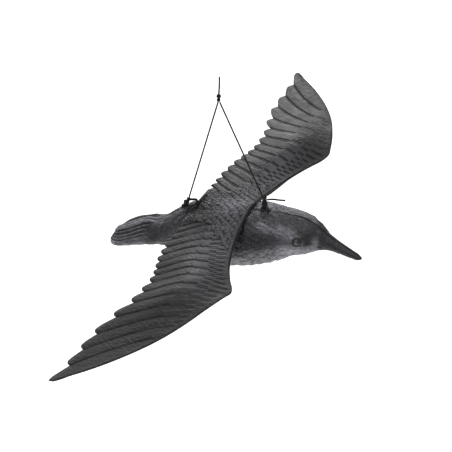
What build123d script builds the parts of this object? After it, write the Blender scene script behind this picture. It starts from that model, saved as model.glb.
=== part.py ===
"""Hanging crow decoy: a hollow flying bird with a one-piece wing plate, hung on a tied cord bridle.

Millimetres. The origin is the top of the hanging loop, where a hook holds the cord.
+X points along the beak, +Y to the bird's left wing tip and +Z up.
"""
import os
from math import cos, pi, radians, sin

from build123d import *

os.makedirs("parts", exist_ok=True)

# ---------------------------------------------------------------- driving sizes
HALF_SPAN = 280.0            # from the middle of the back to a wing tip
BELOW_ALL = -300.0            # the level of cutting profiles, under every part
CORD_RADIUS = 0.75
SHELL_WALL = 1.8
PLATE_THICKNESS = 2.4        # the wing plate, measured upright
RUNNING_GAP = 0.4            # between a cord run and a knot it swings on

# Body sections from the tail's end to the beak's tip: x, height of the ridge, half width, half height.
BODY_SECTIONS = [
    (-127.0, -222.5, 29.0, 4.8),
    (-105.0, -210.5, 27.5, 6.8),
    (-85.0, -199.3, 24.0, 10.0),
    (-66.0, -188.5, 20.0, 13.5),
    (-50.0, -175.5, 20.0, 19.0),
    (-35.0, -165.2, 24.5, 24.5),
    (-15.0, -158.6, 30.0, 29.0),
    (5.0, -152.6, 32.5, 32.0),
    (28.0, -145.8, 32.0, 31.8),
    (50.0, -141.2, 29.5, 30.0),
    (70.0, -138.0, 26.0, 26.0),
    (84.0, -136.4, 23.0, 22.0),
    (96.0, -137.6, 20.0, 18.8),
    (106.0, -142.4, 14.5, 13.7),
    (117.0, -149.2, 8.6, 8.8),
    (130.0, -155.6, 6.0, 6.0),
    (142.0, -160.8, 4.0, 4.2),
    (152.5, -165.4, 1.5, 1.6),
]
CAVITY_FROM = -67.0          # solid behind this
CAVITY_TO = 97.0             # solid in front of this, which balances the tail
END_WALL = 4.0
TAIL_END_CENTRE = -103.0     # the tail's end is half an ellipse about this x
TAIL_END_LENGTH = 21.0
TAIL_END_HALF_WIDTH = 27.0
TAIL_END_CUT = (60.0, 90.0)   # the cut's length and width, more than the tail's own
EYE_POSITION = (91.5, 18.5, -152.3)
EYE_RADIUS = 4.2

# Wing plate, seen from above: leading edge from the middle of the back to the tip, as x, y.
LEADING_EDGE = [
    (35.0, 0.0), (36.5, 30.0), (41.0, 56.0), (49.5, 83.0), (58.5, 101.5), (66.0, 114.0), (68.6, 121.5),
    (66.6, 133.0), (57.0, 162.0), (42.5, 193.0), (20.0, 226.5), (-5.0, 255.0), (-28.5, 276.5),
]
# Tips of the sixteen flight feathers of one wing, from the outermost in, as x, y.
FEATHER_TIPS = [
    (-35.0, HALF_SPAN), (-32.0, 248.5), (-32.0, 224.5), (-31.0, 201.0), (-25.5, 175.0), (-19.0, 152.5),
    (-17.0, 135.5), (-16.5, 120.5), (-18.5, 109.0), (-21.5, 99.0), (-25.0, 88.0), (-27.0, 76.5),
    (-29.0, 64.5), (-29.0, 51.0), (-29.0, 39.5), (-28.5, 29.0),
]
FEATHER_NOTCH = (5.3, 6.2)   # a notch lies this far ahead of and outside the next feather's tip
REAR_EDGE_X = -29.5          # the plate's rear edge at the middle of the back

# Across the plate, from the middle of the back to the tip: y, height of the upper face at PLATE_REF_X,
# its slope towards the front, depth of the front rim, and how far the plate arches up at mid chord.
PLATE_REF_X = -28.0
PLATE_ACROSS = [
    (0.0, -158.5, 0.287, 2.5, 0.0), (10.0, -158.7, 0.266, 2.7, 0.2), (20.0, -158.9, 0.235, 3.6, 0.4),
    (31.0, -159.0, 0.205, 4.6, 0.7), (42.0, -159.4, 0.175, 5.0, 1.2), (54.0, -159.8, 0.155, 4.2, 1.9),
    (70.0, -160.0, 0.140, 2.8, 3.3), (90.0, -159.6, 0.127, 2.5, 5.3), (108.0, -159.4, 0.130, 2.5, 6.6),
    (122.0, -159.6, 0.155, 2.5, 7.0), (137.0, -160.2, 0.198, 2.5, 6.2), (155.0, -160.8, 0.222, 2.5, 3.8),
    (178.0, -161.4, 0.225, 2.5, 1.2), (205.0, -161.6, 0.217, 2.5, 0.1), (230.0, -161.0, 0.212, 2.5, 0.0),
    (255.0, -160.0, 0.208, 2.5, 0.0), (285.0, -158.0, 0.200, 2.5, 0.0),
]
SLAB_SECTIONS = (-50.0, -30.0, -15.0, 0.0, 12.0, 24.0, 36.0, 48.0, 60.0, 85.0)   # x
RIM_WALL = 2.2               # front to back
RIM_SUNK = 1.0               # the rim's top, inside the plate
RIM_ENDS_Y = 123.0
FLEX_Y = 40.0                # the plate bends along this line, each side of the back
FLEX_STRIP = 3.0
PEG_RADIUS = 2.2
PEG_LENGTH = 8.0
PEG_SUNK = 1.0               # a peg's top, below the plate's upper face
PEG_CLEARANCE = 0.1
PEG_MIDDLE_Z = -150.0
PEG_HOLE_DEPTH = 40.0         # through the top wall of a shell
PEG_PLACES = [(22.0, 9.0), (-8.0, 9.0)]

# Cord knots and the lugs that it is tied to.
KNOT_X = -0.9
LOOP_KNOT_Z = -21.4
LOOP_KNOT_RADIUS = 2.1
BRIDLE_KNOT_Z = -25.6
BRIDLE_KNOT_RADIUS = 1.8
LEG_START = 2.7              # from the middle of the bridle knot, where the two legs part
LOOP_TURN = 25.0             # degrees that the hanging loop is turned from the bird's width
LOOP_BEND = 1.5              # radius of the bight at the top of the loop
FRONT_KNOT = Vector(48.0, 0.0, -128.4)
FRONT_KNOT_RADIUS = 2.0
REAR_KNOT = Vector(-35.0, 0.0, -153.4)
REAR_KNOT_RADIUS = 1.9
FRONT_LUG = (49.0, -139.0)   # x, z of the middle of its slot
REAR_LUG = (-39.0, -164.6)
LUG_HALF_WIDTH = 1.3
LUG_CORNER = 2.4
LUG_BELOW_SLOT = 1.0
SLOT_WIDTH = 2.4
SLOT_END_WALL = 1.5
WRAP_HALF_WIDTH = 2.7
FRONT_TURNS = [(47.6, 47.6), (50.4, 49.4)]       # x at the slot and at the knot, for each turn of cord
REAR_TURNS = [(-40.2, -36.0), (-37.8, -34.4)]
REAR_BOW_KNOT = Vector(-25.4, 0.0, -155.6)
# Free runs of the ties, lying on the back or standing off it, as x, y, z.
FRONT_TAIL = [(50.1, 0.9, -128.2), (56.0, 3.6, -127.4), (61.5, 5.4, -128.2), (67.5, 7.0, -127.8)]
REAR_BOW = [(-33.0, 0.0, -152.8), (-30.0, 0.0, -150.4), (-26.6, 0.0, -150.8), (-25.4, 0.0, -153.6)]
REAR_TAIL_LEFT = [(-25.0, 1.9, -155.8), (-24.4, 6.5, -156.2), (-24.0, 11.5, -156.0), (-23.0, 17.0, -155.6)]
REAR_TAIL_RIGHT = [
    (-26.4, -1.6, -156.2), (-30.6, -4.4, -158.6), (-32.2, -8.6, -161.8), (-31.6, -12.6, -164.6),
]


def round_cord(points, radii=None):
    """A cord's run through the points, straight, or rounded at each inner point."""
    with BuildPart() as cord:
        with BuildLine() as route:
            if radii:
                FilletPolyline(*points, radius=radii)
            else:
                Line(*points)
        with BuildSketch(Plane(origin=route.wire() @ 0, z_dir=route.wire() % 0)):
            Circle(CORD_RADIUS)
        sweep(path=route.wire())
    return cord.part


def corner_radii(points):
    """The largest radius that each corner's two runs allow."""
    radii = []
    for before, corner, after in zip(points, points[1:], points[2:]):
        arriving = Vector(*corner) - Vector(*before)
        leaving = Vector(*after) - Vector(*corner)
        turn = radians(arriving.get_angle(leaving))
        shorter = min(arriving.length, leaving.length)
        radii.append(0.45 * shorter / (sin(turn / 2) / cos(turn / 2)))
    print("cord radii", [round(radius, 1) for radius in radii])
    return radii


def wrap(centre_x, bottom_z, top_x, top_z):
    """One turn of cord through a lug: a narrow upright ring, leaning from bottom to top."""
    middle = Vector((centre_x + top_x) / 2, 0, (bottom_z + top_z) / 2)
    lean = Vector(top_x - centre_x, 0, top_z - bottom_z)
    ring_plane = Plane(origin=middle, x_dir=(0, 1, 0), z_dir=Vector(0, 1, 0).cross(lean))
    straight = lean.length / 2 - WRAP_HALF_WIDTH
    with BuildPart() as ring:
        with BuildLine(ring_plane) as route:
            side = Line((WRAP_HALF_WIDTH, -straight), (WRAP_HALF_WIDTH, straight))
            RadiusArc(side @ 1, (-WRAP_HALF_WIDTH, straight), -WRAP_HALF_WIDTH)
            other = Line((-WRAP_HALF_WIDTH, straight), (-WRAP_HALF_WIDTH, -straight))
            RadiusArc(other @ 1, side @ 0, -WRAP_HALF_WIDTH)
        with BuildSketch(Plane(origin=side @ 0, z_dir=side % 0)):
            Circle(CORD_RADIUS)
        sweep(path=route.wire())
    return ring.part


def ball(centre, radius):
    """A pulled-tight knot."""
    with BuildPart() as knot:
        with Locations(centre):
            Sphere(radius)
    return knot.part


def toward(start, end, distance):
    """The point at this distance from start on the way to end."""
    return start + (end - start).normalized() * distance


# ---------------------------------------------------------------- body
def body_loft(sections, insets):
    """A solid through the upright elliptical sections, each drawn in by its inset."""
    with BuildPart() as form:
        for (x, ridge_z, half_width, half_height), inset in zip(sections, insets):
            with BuildSketch(Plane.YZ.offset(x)):
                with Locations((0, ridge_z - half_height)):
                    Ellipse(half_width - inset, half_height - inset)
        loft()
    return form.part


def lug(centre, length, height):
    """A rounded tab on the seam with a slot for the cord's turns."""
    x, z = centre
    with BuildPart() as tab:
        with BuildSketch(Plane.XZ):
            with Locations((x, z - LUG_BELOW_SLOT)):
                RectangleRounded(length, height, LUG_CORNER)
            with Locations((x, z)):
                SlotOverall(length - 2 * SLOT_END_WALL, SLOT_WIDTH, mode=Mode.SUBTRACT)
        extrude(amount=LUG_HALF_WIDTH, both=True)
    return tab.part


hollow_sections = [section for section in BODY_SECTIONS if CAVITY_FROM <= section[0] <= CAVITY_TO]
cavity_walls = [END_WALL] + [SHELL_WALL] * (len(hollow_sections) - 2) + [END_WALL]
solid_body = body_loft(BODY_SECTIONS, [0.0] * len(BODY_SECTIONS))
cavity = body_loft(hollow_sections, cavity_walls)

with BuildPart() as whole_body:
    add(solid_body)
    with BuildSketch(Plane.XY.offset(BELOW_ALL)):
        with Locations((TAIL_END_CENTRE - TAIL_END_CUT[0] / 2, 0)):
            Rectangle(*TAIL_END_CUT)
        with Locations((TAIL_END_CENTRE, 0)):
            Ellipse(TAIL_END_LENGTH, TAIL_END_HALF_WIDTH, mode=Mode.SUBTRACT)
    extrude(amount=-BELOW_ALL, mode=Mode.SUBTRACT)
    add(cavity, mode=Mode.SUBTRACT)
    add(lug(FRONT_LUG, 9.0, 7.0))
    add(lug(REAR_LUG, 8.0, 8.0))
    for side in (-1, 1):
        with Locations((EYE_POSITION[0], side * EYE_POSITION[1], EYE_POSITION[2])):
            Sphere(EYE_RADIUS)
    for x, y in PEG_PLACES:
        with Locations((x, y, PEG_MIDDLE_Z), (x, -y, PEG_MIDDLE_Z)):
            Cylinder(PEG_RADIUS + PEG_CLEARANCE, PEG_HOLE_DEPTH, mode=Mode.SUBTRACT)

with BuildPart() as body_shell_left:
    add(whole_body.part)
    split(bisect_by=Plane.XZ, keep=Keep.BOTTOM)
body_shell_left.part.label = "body_shell_left"
export_step(body_shell_left.part, "parts/body_shell_left.step")

with BuildPart() as body_shell_right:
    add(whole_body.part)
    split(bisect_by=Plane.XZ, keep=Keep.TOP)
body_shell_right.part.label = "body_shell_right"
export_step(body_shell_right.part, "parts/body_shell_right.step")


# ---------------------------------------------------------------- wing plate
def edge_at(points, y):
    """x of an outline of x, y points at this y, taken straight from point to point."""
    ordered = sorted((point_y, point_x) for point_x, point_y in points)
    for (y0, x0), (y1, x1) in zip(ordered, ordered[1:]):
        if y <= y1:
            return x0 + (x1 - x0) * (y - y0) / (y1 - y0)
    return ordered[-1][1]


def plate_top(x, y, rear_height, slope, arch):
    """Height of the plate's upper face: a sloping line from rear to front, plus the arch along the chord."""
    rear = edge_at(FEATHER_TIPS + [(REAR_EDGE_X, 0.0)], y)
    front = edge_at(LEADING_EDGE, y)
    share = min(max((x - rear) / max(front - rear, 1.0), 0.0), 1.0)
    return rear_height + slope * (x - PLATE_REF_X) + arch * sin(pi * share) ** 2


def plate_slab(depths, sunk=0.0):
    """The draped slab that the plate is cut from, reaching these depths, its top sunk under the plate's."""
    with BuildPart() as slab:
        for x in SLAB_SECTIONS:
            upper = [
                (y, plate_top(x, y, height, slope, arch) - sunk)
                for y, height, slope, rim_depth, arch in PLATE_ACROSS
            ]
            lower = [(y, z + sunk - depth) for (y, z), depth in zip(upper, depths)]
            with BuildSketch(Plane.YZ.offset(x)):
                with BuildLine():
                    top_curve = Spline(*upper)
                    low_curve = Spline(*lower)
                    Line(top_curve @ 0, low_curve @ 0)
                    Line(top_curve @ 1, low_curve @ 1)
                make_face()
        loft()
    return slab.part


def plate_outline():
    """One wing and half the back, seen from above: smooth in front, serrated behind."""
    with BuildSketch() as outline:
        with BuildLine():
            front = Spline(*LEADING_EDGE, tangents=[(0, 1), (-0.7, 0.7)])
            corners = [front @ 1, FEATHER_TIPS[0]]
            for x, y in FEATHER_TIPS[1:]:
                corners.append((x + FEATHER_NOTCH[0], y + FEATHER_NOTCH[1]))
                corners.append((x, y))
            corners.append((REAR_EDGE_X, 0))
            corners.append((LEADING_EDGE[0][0], 0))
            Polyline(*corners)
        make_face()
    return outline.sketch


half_outline = plate_outline()
thin_slab = plate_slab([PLATE_THICKNESS] * len(PLATE_ACROSS))
rim_slab = plate_slab([rim_depth for y, height, slope, rim_depth, arch in PLATE_ACROSS], RIM_SUNK)

with BuildPart() as front_rim:
    with BuildSketch(Plane.XY.offset(BELOW_ALL)):
        add(half_outline)
        add(Pos(-RIM_WALL, 0, 0) * half_outline, mode=Mode.SUBTRACT)
        with Locations((SLAB_SECTIONS[-1] / 2, RIM_ENDS_Y / 2)):
            Rectangle(SLAB_SECTIONS[-1], RIM_ENDS_Y, mode=Mode.INTERSECT)
    extrude(amount=-BELOW_ALL)
    add(rim_slab, mode=Mode.INTERSECT)

with BuildPart() as left_half_plate:
    with BuildSketch(Plane.XY.offset(BELOW_ALL)):
        add(half_outline)
    extrude(amount=-BELOW_ALL)
    add(thin_slab, mode=Mode.INTERSECT)
    add(front_rim.part)


def plate_zone(from_y, to_y):
    """The stretch of the left half of the plate between two distances from the middle."""
    with BuildPart() as zone:
        add(left_half_plate.part)
        with Locations((0, (from_y + to_y) / 2, 0)):
            Box(-2 * BELOW_ALL, to_y - from_y, -2 * BELOW_ALL, mode=Mode.INTERSECT)
    return zone.part


saddle_edge = FLEX_Y - FLEX_STRIP / 2
wing_root = FLEX_Y + FLEX_STRIP / 2

with BuildPart() as wing_saddle:
    add(plate_zone(0, saddle_edge))
    for x, y in PEG_PLACES:
        row_y, height, slope, rim_depth, arch = PLATE_ACROSS[1]
        with Locations((x, y, plate_top(x, row_y, height, slope, arch) - PEG_SUNK)):
            Cylinder(PEG_RADIUS, PEG_LENGTH, align=(Align.CENTER, Align.CENTER, Align.MAX))
    mirror(about=Plane.XZ)
wing_saddle.part.label = "wing_saddle"
export_step(wing_saddle.part, "parts/wing_saddle.step")

with BuildPart() as left_flex_strip:
    add(plate_zone(saddle_edge, wing_root))
left_flex_strip.part.label = "left_flex_strip"
export_step(left_flex_strip.part, "parts/left_flex_strip.step")

with BuildPart() as right_flex_strip:
    add(mirror(left_flex_strip.part, about=Plane.XZ))
right_flex_strip.part.label = "right_flex_strip"
export_step(right_flex_strip.part, "parts/right_flex_strip.step")

with BuildPart() as left_wing:
    add(plate_zone(wing_root, HALF_SPAN + 10))
left_wing.part.label = "left_wing"
export_step(left_wing.part, "parts/left_wing.step")

with BuildPart() as right_wing:
    add(mirror(left_wing.part, about=Plane.XZ))
right_wing.part.label = "right_wing"
export_step(right_wing.part, "parts/right_wing.step")


# ---------------------------------------------------------------- cord bridle
loop_knot_centre = Vector(KNOT_X, 0, LOOP_KNOT_Z)
bridle_knot_centre = Vector(KNOT_X, 0, BRIDLE_KNOT_Z)
loop_up = (Vector(0, 0, 0) - loop_knot_centre).normalized()
loop_side = Vector(-sin(radians(LOOP_TURN)), cos(radians(LOOP_TURN)), 0) * LOOP_BEND
loop_foot = loop_knot_centre + loop_up * (LOOP_KNOT_RADIUS + RUNNING_GAP)
loop_shoulder = loop_up * -(CORD_RADIUS + LOOP_BEND)

with BuildPart() as hanging_loop:
    with BuildLine() as loop_route:
        rising = Line(loop_foot + loop_side, loop_shoulder + loop_side)
        bight = ThreePointArc(rising @ 1, loop_up * -CORD_RADIUS, loop_shoulder - loop_side)
        Line(bight @ 1, loop_foot - loop_side)
    with BuildSketch(Plane(origin=rising @ 0, z_dir=rising % 0)):
        Circle(CORD_RADIUS)
    sweep(path=loop_route.wire())
hanging_loop.part.label = "hanging_loop"
export_step(hanging_loop.part, "parts/hanging_loop.step")

with BuildPart() as loop_knot:
    add(ball(loop_knot_centre, LOOP_KNOT_RADIUS))
loop_knot.part.label = "loop_knot"
export_step(loop_knot.part, "parts/loop_knot.step")

with BuildPart() as bridle_knot:
    add(ball(bridle_knot_centre, BRIDLE_KNOT_RADIUS))
bridle_knot.part.label = "bridle_knot"
export_step(bridle_knot.part, "parts/bridle_knot.step")

with BuildPart() as bridle_front_leg:
    front_leg_top = toward(bridle_knot_centre, FRONT_KNOT, LEG_START)
    front_leg_foot = toward(FRONT_KNOT, bridle_knot_centre, FRONT_KNOT_RADIUS + RUNNING_GAP)
    add(round_cord([front_leg_top, front_leg_foot]))
bridle_front_leg.part.label = "bridle_front_leg"
export_step(bridle_front_leg.part, "parts/bridle_front_leg.step")

with BuildPart() as bridle_rear_leg:
    rear_leg_top = toward(bridle_knot_centre, REAR_KNOT, LEG_START)
    rear_leg_foot = toward(REAR_KNOT, bridle_knot_centre, REAR_KNOT_RADIUS + RUNNING_GAP)
    add(round_cord([rear_leg_top, rear_leg_foot]))
bridle_rear_leg.part.label = "bridle_rear_leg"
export_step(bridle_rear_leg.part, "parts/bridle_rear_leg.step")

with BuildPart() as front_tie:
    add(ball(FRONT_KNOT, FRONT_KNOT_RADIUS))
    for foot_x, head_x in FRONT_TURNS:
        add(wrap(foot_x, FRONT_LUG[1], head_x, FRONT_KNOT.Z + 0.5))
front_tie.part.label = "front_tie"
export_step(front_tie.part, "parts/front_tie.step")

with BuildPart() as front_tie_tail:
    add(round_cord(FRONT_TAIL, corner_radii(FRONT_TAIL)))
front_tie_tail.part.label = "front_tie_tail"
export_step(front_tie_tail.part, "parts/front_tie_tail.step")

with BuildPart() as rear_tie:
    add(ball(REAR_KNOT, REAR_KNOT_RADIUS))
    for foot_x, head_x in REAR_TURNS:
        add(wrap(foot_x, REAR_LUG[1], head_x, REAR_KNOT.Z + 0.5))
rear_tie.part.label = "rear_tie"
export_step(rear_tie.part, "parts/rear_tie.step")

with BuildPart() as rear_tie_bow:
    add(round_cord(REAR_BOW, corner_radii(REAR_BOW)))
rear_tie_bow.part.label = "rear_tie_bow"
export_step(rear_tie_bow.part, "parts/rear_tie_bow.step")

with BuildPart() as rear_bow_knot:
    add(ball(REAR_BOW_KNOT, REAR_KNOT_RADIUS))
rear_bow_knot.part.label = "rear_bow_knot"
export_step(rear_bow_knot.part, "parts/rear_bow_knot.step")

with BuildPart() as rear_tail_left:
    add(round_cord(REAR_TAIL_LEFT, corner_radii(REAR_TAIL_LEFT)))
rear_tail_left.part.label = "rear_tail_left"
export_step(rear_tail_left.part, "parts/rear_tail_left.step")

with BuildPart() as rear_tail_right:
    add(round_cord(REAR_TAIL_RIGHT, corner_radii(REAR_TAIL_RIGHT)))
rear_tail_right.part.label = "rear_tail_right"
export_step(rear_tail_right.part, "parts/rear_tail_right.step")
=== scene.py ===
"""Looks of the hanging crow decoy: feathered shells and wing plate, tied cord bridle, plain pale studio.

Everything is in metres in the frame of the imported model: +X along the beak, +Y to the bird's left wing
tip, +Z up. Tables of sizes are in millimetres and are scaled once, by MM.
"""
import math

import bpy
import numpy as np
from mathutils import Matrix, Vector


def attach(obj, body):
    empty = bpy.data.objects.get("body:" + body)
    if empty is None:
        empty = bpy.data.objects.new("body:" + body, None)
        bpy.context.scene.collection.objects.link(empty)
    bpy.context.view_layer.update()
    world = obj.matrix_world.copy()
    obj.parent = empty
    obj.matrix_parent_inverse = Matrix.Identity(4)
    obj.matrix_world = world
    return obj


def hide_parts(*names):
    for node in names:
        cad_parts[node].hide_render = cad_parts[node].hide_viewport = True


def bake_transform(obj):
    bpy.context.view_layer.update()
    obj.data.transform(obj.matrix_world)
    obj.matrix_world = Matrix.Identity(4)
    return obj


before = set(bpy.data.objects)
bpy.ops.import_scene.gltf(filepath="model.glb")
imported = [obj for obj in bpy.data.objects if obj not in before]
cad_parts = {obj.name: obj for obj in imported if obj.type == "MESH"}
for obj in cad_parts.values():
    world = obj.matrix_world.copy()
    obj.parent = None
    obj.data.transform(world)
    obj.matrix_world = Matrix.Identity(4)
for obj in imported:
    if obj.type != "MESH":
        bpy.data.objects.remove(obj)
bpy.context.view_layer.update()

MM = 0.001
HALF_SPAN = 280.0
CORD_DIAMETER = 1.5


# ---------------------------------------------------------------- camera
# The photo's viewpoint: its direction follows from the mirrored feather tips, its elevation was tried.
CAMERA_PLACE = Vector((0.47381, -1.00360, 0.69030))
CAMERA_AIM = Vector((-0.33251, 0.71442, -0.61566))
CAMERA_RIGHT = Vector((0.90661, 0.42197, 0.0))
SENSOR_WIDTH = 36.0
LENS = 110.7


def make_camera():
    data = bpy.data.cameras.new("camera")
    data.sensor_width = SENSOR_WIDTH
    data.lens = LENS
    data.clip_start = 0.01
    data.clip_end = 20.0
    camera = bpy.data.objects.new("camera", data)
    bpy.context.scene.collection.objects.link(camera)
    back = -CAMERA_AIM.normalized()
    right = CAMERA_RIGHT.normalized()
    up = back.cross(right)
    turn = Matrix((right, up, back)).transposed().to_4x4()
    camera.matrix_world = Matrix.Translation(CAMERA_PLACE) @ turn
    bpy.context.scene.camera = camera


make_camera()


# ---------------------------------------------------------------- materials
PAINTED_LIGHT_GREY = 0.42                # the grey that a tone of 1, painted light, lightens to
PAINTED_SHADE_SHARE = 0.1               # how much of its colour a tone of -1, painted shade, leaves


def grey(value, tint=1.14):
    """A dark grey with a slight cool tint, as linear colour."""
    return (value, value * 0.985, value * tint, 1.0)


class Nodes:
    """A new material's node tree, with a method for each kind of node used here."""

    def __init__(self, name):
        self.material = bpy.data.materials.new(name)
        self.material.use_nodes = True
        self.tree = self.material.node_tree
        self.place = self.add("ShaderNodeTexCoord").outputs["Object"]

    def join(self, value, socket):
        """Links the socket to another node's output, or sets it to a plain value."""
        if isinstance(value, bpy.types.NodeSocket):
            self.tree.links.new(value, socket)
        else:
            socket.default_value = value

    def shade(self, name, value):
        """Links or sets an input of the material's shader."""
        self.join(value, self.tree.nodes["Principled BSDF"].inputs[name])

    def add(self, kind, inputs=None, **settings):
        node = self.tree.nodes.new(kind)
        for key, value in settings.items():
            setattr(node, key, value)
        for key, value in (inputs or {}).items():
            self.join(value, node.inputs[key])
        return node

    def layer(self, name):
        """The number that paint() stored at each vertex."""
        return self.add("ShaderNodeAttribute", attribute_name=name).outputs["Fac"]

    def clouds(self, scale, detail, roughness=0.5, place=None, output="Fac"):
        """Cloudy noise from 0 to 1."""
        inputs = {"Vector": place or self.place, "Scale": scale, "Detail": detail, "Roughness": roughness}
        return self.add("ShaderNodeTexNoise", inputs).outputs[output]

    def spread(self, value, low, high, at_low, at_high):
        """The value carried from low..high to at_low..at_high, and held at the ends."""
        inputs = {"Value": value, 1: low, 2: high, 3: at_low, 4: at_high}
        return self.add("ShaderNodeMapRange", inputs).outputs[0]

    def mix(self, factor, first, second, blend="MIX"):
        """Two colours mixed: the first at factor 0, the second at 1."""
        inputs = {"Factor": factor, 6: first, 7: second}
        return self.add("ShaderNodeMix", inputs, data_type="RGBA", blend_type=blend).outputs[2]

    def scale(self, colour, by):
        """A colour made lighter or darker."""
        return self.add("ShaderNodeVectorMath", {0: colour, "Scale": by}, operation="SCALE").outputs[0]

    def reckon(self, operation, *values):
        """One step of arithmetic."""
        return self.add("ShaderNodeMath", dict(enumerate(values)), operation=operation).outputs[0]

    def bump(self, height, strength, distance, normal=None):
        """A normal tilted by the height, over another normal where one is given."""
        inputs = {"Strength": strength, "Distance": distance, "Height": height}
        if normal is not None:
            inputs["Normal"] = normal
        return self.add("ShaderNodeBump", inputs).outputs[0]


def feather_plastic(name, base, crevice, edge, roughness, specular, hair=0.0):
    """Moulded black-grey plastic: mottled tone, painted shade in the grooves, painted highlights on the
    ridges, fine barbs in bump.
    """
    nodes = Nodes(name)
    relief, groove, barb, tone = (nodes.layer(layer) for layer in ("relief", "groove", "barb", "tone"))

    ground = nodes.add("ShaderNodeValToRGB", {"Fac": nodes.clouds(28.0, 6.0, 0.62)})
    for stop, position, colour in (
        (ground.color_ramp.elements[0], 0.3, grey(base * 0.80)),
        (ground.color_ramp.elements[1], 0.72, grey(base * 1.22, 1.16)),
    ):
        stop.position = position
        stop.color = colour
    # The tone layer is painted light and shade: lighter towards a pale grey where light falls, darker where
    # shade falls.
    painted_light = nodes.mix(nodes.spread(tone, 0.0, 1.0, 0.0, 1.0), ground.outputs["Color"], grey(PAINTED_LIGHT_GREY, 1.12))
    painted_shade = nodes.scale(painted_light, nodes.spread(tone, -1.0, 0.0, PAINTED_SHADE_SHARE, 1.0))
    mottled = nodes.mix(0.16, painted_shade, nodes.clouds(420.0, 3.0, 0.7, output="Color"), "OVERLAY")
    # Painted shade where the groove layer is high, a painted highlight where the relief layer is high.
    dark = nodes.mix(nodes.spread(groove, 0.05, 0.75, 0.0, 0.97), mottled, grey(crevice))
    highlighted = nodes.mix(nodes.spread(relief, 0.3, 1.0, 0.0, 0.95), dark, grey(edge, 1.10))
    barbs = nodes.reckon("SINE", nodes.reckon("MULTIPLY", barb, 2.0 * math.pi))
    barred = nodes.scale(highlighted, nodes.spread(barbs, -1.0, 1.0, 0.94, 1.05))
    drawn = nodes.add("ShaderNodeMapping", {"Vector": nodes.place, "Scale": (110.0, 620.0, 620.0),
                                            "Rotation": (0.0, 0.35, 0.0)})
    strands = nodes.clouds(1.0, 4.0, 0.6, drawn.outputs[0])
    streak = nodes.spread(strands, 0.32, 0.68, 1.0 - 0.75 * hair, 1.0 + 0.95 * hair)
    nodes.shade("Base Color", nodes.scale(barred, streak))

    gloss = nodes.spread(nodes.clouds(60.0, 4.0), 0.3, 0.7, roughness - 0.06, roughness + 0.09)
    dull = nodes.reckon("MULTIPLY_ADD", groove, 0.5, gloss)
    polish = nodes.spread(relief, -1.0, -0.4, -0.24, 0.0)
    nodes.shade("Roughness", nodes.reckon("ADD", dull, polish))

    barb_bump = nodes.bump(barbs, 0.18, 0.0002)
    grain_bump = nodes.bump(nodes.clouds(900.0, 3.0, 0.6), 0.35, 0.00025, barb_bump)
    nodes.shade("Normal", nodes.bump(strands, hair, 0.0009, grain_bump))
    nodes.shade("Specular IOR Level", specular)
    nodes.shade("IOR", 1.5)
    return nodes.material


def cord_material(name, base):
    """Black twisted polyester cord: strand shade along the twist, fuzz as fine bump."""
    nodes = Nodes(name)
    fuzz = nodes.clouds(1500.0, 3.0, 0.7)
    strand = nodes.mix(nodes.clouds(160.0, 2.0), grey(base * 0.6, 1.0), grey(base * 1.7, 1.0))
    nodes.shade("Base Color", strand)
    nodes.shade("Roughness", nodes.spread(fuzz, 0.3, 0.7, 0.6, 0.85))
    nodes.shade("Normal", nodes.bump(fuzz, 0.4, 0.0001))
    nodes.shade("Sheen Weight", 0.15)
    return nodes.material


wing_material = feather_plastic(
    "wing_plastic", base=0.024, crevice=0.0008, edge=0.20, roughness=0.38, specular=0.42,
)
body_material = feather_plastic(
    "body_plastic", base=0.042, crevice=0.0015, edge=0.27, roughness=0.33, specular=0.58, hair=0.8,
)
black_cord = cord_material("cord", 0.004)


# ---------------------------------------------------------------- meshes and smooth numbers
def new_piece(name, vertices, faces, material):
    """A smooth mesh object from arrays in metres."""
    mesh = bpy.data.meshes.new(name)
    mesh.from_pydata([tuple(v) for v in vertices], [], [tuple(f) for f in faces])
    mesh.validate()
    mesh.update()
    mesh.polygons.foreach_set("use_smooth", [True] * len(mesh.polygons))
    mesh.materials.append(material)
    piece = bpy.data.objects.new(name, mesh)
    bpy.context.scene.collection.objects.link(piece)
    return piece


def paint(piece, layers):
    """Stores the four painted layers at each vertex, under the names that the material reads."""
    for name, values in zip(("groove", "relief", "barb", "tone"), layers.reshape(-1, 4).T):
        attribute = piece.data.attributes.new(name, "FLOAT", "POINT")
        attribute.data.foreach_set("value", np.ascontiguousarray(values, np.float32))


def grid_faces(columns, rows):
    """Quads of a grid whose vertices run row by row inside each column."""
    here = np.arange(columns - 1)[:, None] * rows + np.arange(rows - 1)[None, :]
    return np.stack([here, here + rows, here + rows + 1, here + 1], -1).reshape(-1, 4)


def step(low, high, value):
    """Smooth 0 to 1 between low and high."""
    t = np.clip((value - low) / (high - low), 0.0, 1.0)
    return t * t * (3.0 - 2.0 * t)


def band(value, rise_from, rise_to, fall_from, fall_to):
    """1 between a smooth step up and a smooth step down."""
    return step(rise_from, rise_to, value) * (1.0 - step(fall_from, fall_to, value))


def spot(*terms):
    """A bell: 1 at one place, falling away. Each term is a value, its middle and its reach."""
    return np.exp(-sum(((value - middle) / reach) ** 2 for value, middle, reach in terms))


def blended(under, over, share):
    """The one below where the share is 0, the one above where it is 1."""
    return under * (1.0 - share) + over * share


def table_at(table, at):
    """The second column of a table, read by its first, straight from row to row."""
    return np.interp(at, *zip(*table))


def noise(points, scale, seed=0.0):
    """Cheap smooth noise in -1..1 from a sum of turned waves. points is (..., 2 or 3) in millimetres."""
    total = np.zeros(points.shape[:-1])
    generator = np.random.default_rng(int(seed * 1000) + 11)
    for _ in range(9):
        direction = generator.normal(size=points.shape[-1])
        direction *= generator.uniform(0.6, 1.6) / np.linalg.norm(direction) / scale
        total += np.sin(points @ direction * 2.0 * np.pi + generator.uniform(0.0, 6.28))
    return total / 4.5


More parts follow.
